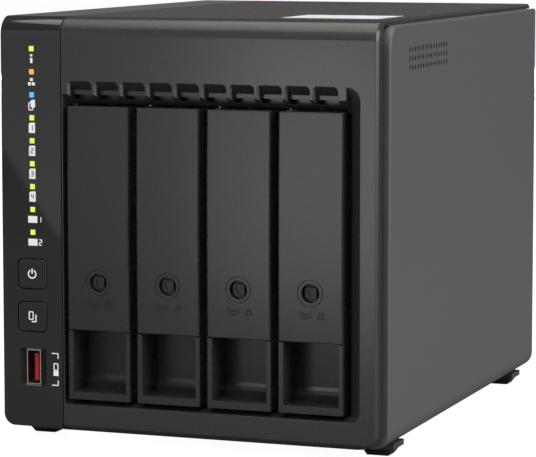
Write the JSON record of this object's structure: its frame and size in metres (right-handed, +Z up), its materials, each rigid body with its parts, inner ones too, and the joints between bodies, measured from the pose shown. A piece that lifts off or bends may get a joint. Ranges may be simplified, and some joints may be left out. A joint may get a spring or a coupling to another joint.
{
  "type": "network attached storage",
  "caption": "Desktop network storage box: an upright case with front drive trays side by side, a gloss strip of indicator lights and keys, side air slots and a rear fan.",
  "frame": {"origin": "the middle of the footprint, on the surface that the feet stand on", "axes": "+X to the right seen from the front, +Y from the front to the back, +Z up"},
  "size_m": [0.16, 0.2204, 0.169],
  "materials": {
    "case_plastic": "fine-textured moulded plastic, dark warm grey",
    "gloss_panel": "glossy moulded plastic, near black",
    "panel_steel": "powder coated sheet steel, mid grey",
    "label": "blank white film",
    "base_steel": "black painted sheet steel",
    "foot_plastic": "moulded plastic",
    "foot_rubber": "matt rubber",
    "zinc_steel": "zinc plated sheet steel",
    "black_plastic": "moulded plastic, black",
    "screw_steel": "blackened steel",
    "circuit_board": "solder resist over glass epoxy",
    "brass_pillar": "turned brass",
    "heat_sink_aluminium": "extruded, clear anodised",
    "card_board": "solder resist over glass epoxy",
    "clear_plastic": "clear moulded light pipe, lit",
    "socket_metal": "nickel plated steel",
    "red_plastic": "moulded plastic, red",
    "blue_plastic": "moulded plastic, blue",
    "grille_steel": "black painted steel",
    "lock_plastic": "moulded plastic, dark grey",
    "drive_aluminium": "die cast, as cast",
    "drive_lid": "stamped steel"
  },
  "bodies": {
    "case": {"backplane_board": "circuit_board", "backplane_sockets": "black_plastic", "base_plate": "base_steel", "board_standoffs": "brass_pillar", "case_screws": "screw_steel", "drive_cage": "zinc_steel", "fan_frame": "black_plastic", "fan_grille": "grille_steel", "fan_screws": "screw_steel", "foot_brackets": "foot_plastic", "front_top_shell": "case_plastic", "front_usb_riser": "black_plastic", "front_usb_shell": "socket_metal", "front_usb_tongue": "red_plastic", "guide_rails": "black_plastic", "heat_sink": "heat_sink_aluminium", "indicator_board": "circuit_board", "indicator_panel": "gloss_panel", "left_side_panel": "panel_steel", "light_pipes": "clear_plastic", "mainboard": "circuit_board", "memory_modules": "card_board", "network_jacks": "black_plastic", "power_inlet": "black_plastic", "rear_panel": "panel_steel", "rear_usb_shells": "socket_metal", "rear_usb_tongues": "blue_plastic", "right_side_panel": "panel_steel", "rubber_feet": "foot_rubber", "ssd_modules": "card_board", "top_label": "label", "video_sockets": "socket_metal"},
    "tray_1": {"tray_1_carrier": "case_plastic", "drive_1_casting": "drive_aluminium", "drive_1_cover": "drive_lid", "drive_1_board": "circuit_board"},
    "handle_1": {"tray_1_handle": "case_plastic"},
    "lock_1": {"tray_1_lock": "lock_plastic"},
    "tray_2": {"tray_2_carrier": "case_plastic", "drive_2_casting": "drive_aluminium", "drive_2_cover": "drive_lid", "drive_2_board": "circuit_board"},
    "handle_2": {"tray_2_handle": "case_plastic"},
    "lock_2": {"tray_2_lock": "lock_plastic"},
    "tray_3": {"tray_3_carrier": "case_plastic", "drive_3_casting": "drive_aluminium", "drive_3_cover": "drive_lid", "drive_3_board": "circuit_board"},
    "handle_3": {"tray_3_handle": "case_plastic"},
    "lock_3": {"tray_3_lock": "lock_plastic"},
    "tray_4": {"tray_4_carrier": "case_plastic", "drive_4_casting": "drive_aluminium", "drive_4_cover": "drive_lid", "drive_4_board": "circuit_board"},
    "handle_4": {"tray_4_handle": "case_plastic"},
    "lock_4": {"tray_4_lock": "lock_plastic"},
    "power_button": {"power_button": "gloss_panel"},
    "copy_button": {"copy_button": "gloss_panel"},
    "reset_button": {"reset_button": "black_plastic"},
    "fan": {"fan_rotor": "black_plastic"}
  },
  "joints": [
    {"name": "tray_1_slide", "type": "slide", "parent": "case", "child": "tray_1", "axis": [0, -1, 0], "range_m": [0, 0.15]},
    {"name": "handle_1_hinge", "type": "hinge", "parent": "tray_1", "child": "handle_1", "pos_m": [-0.03833, -0.106, 0.1322], "axis": [-1, 0, 0], "range_deg": [0, 50]},
    {"name": "lock_1_turn", "type": "hinge", "parent": "handle_1", "child": "lock_1", "pos_m": [-0.03833, -0.1055, 0.0645], "axis": [0, 1, 0], "range_deg": [0, 90]},
    {"name": "tray_2_slide", "type": "slide", "parent": "case", "child": "tray_2", "axis": [0, -1, 0], "range_m": [0, 0.15]},
    {"name": "handle_2_hinge", "type": "hinge", "parent": "tray_2", "child": "handle_2", "pos_m": [-0.00879, -0.106, 0.1322], "axis": [-1, 0, 0], "range_deg": [0, 50]},
    {"name": "lock_2_turn", "type": "hinge", "parent": "handle_2", "child": "lock_2", "pos_m": [-0.00879, -0.1055, 0.0645], "axis": [0, 1, 0], "range_deg": [0, 90]},
    {"name": "tray_3_slide", "type": "slide", "parent": "case", "child": "tray_3", "axis": [0, -1, 0], "range_m": [0, 0.15]},
    {"name": "handle_3_hinge", "type": "hinge", "parent": "tray_3", "child": "handle_3", "pos_m": [0.02075, -0.106, 0.1322], "axis": [-1, 0, 0], "range_deg": [0, 50]},
    {"name": "lock_3_turn", "type": "hinge", "parent": "handle_3", "child": "lock_3", "pos_m": [0.02075, -0.1055, 0.0645], "axis": [0, 1, 0], "range_deg": [0, 90]},
    {"name": "tray_4_slide", "type": "slide", "parent": "case", "child": "tray_4", "axis": [0, -1, 0], "range_m": [0, 0.15]},
    {"name": "handle_4_hinge", "type": "hinge", "parent": "tray_4", "child": "handle_4", "pos_m": [0.05029, -0.106, 0.1322], "axis": [-1, 0, 0], "range_deg": [0, 50]},
    {"name": "lock_4_turn", "type": "hinge", "parent": "handle_4", "child": "lock_4", "pos_m": [0.05029, -0.1055, 0.0645], "axis": [0, 1, 0], "range_deg": [0, 90]},
    {"name": "power_button_press", "type": "slide", "parent": "case", "child": "power_button", "axis": [0, 1, 0], "range_m": [0, 0.0008], "stiffness_N_per_m": 600, "springref_m": -0.0005},
    {"name": "copy_button_press", "type": "slide", "parent": "case", "child": "copy_button", "axis": [0, 1, 0], "range_m": [0, 0.0008], "stiffness_N_per_m": 600, "springref_m": -0.0005},
    {"name": "reset_button_press", "type": "slide", "parent": "case", "child": "reset_button", "axis": [0, -1, 0], "range_m": [0, 0.001], "stiffness_N_per_m": 400, "springref_m": -0.0005},
    {"name": "fan_spin", "type": "hinge", "parent": "case", "child": "fan", "pos_m": [0.008, 0.092, 0.086], "axis": [0, 1, 0], "continuous": true}
  ]
}
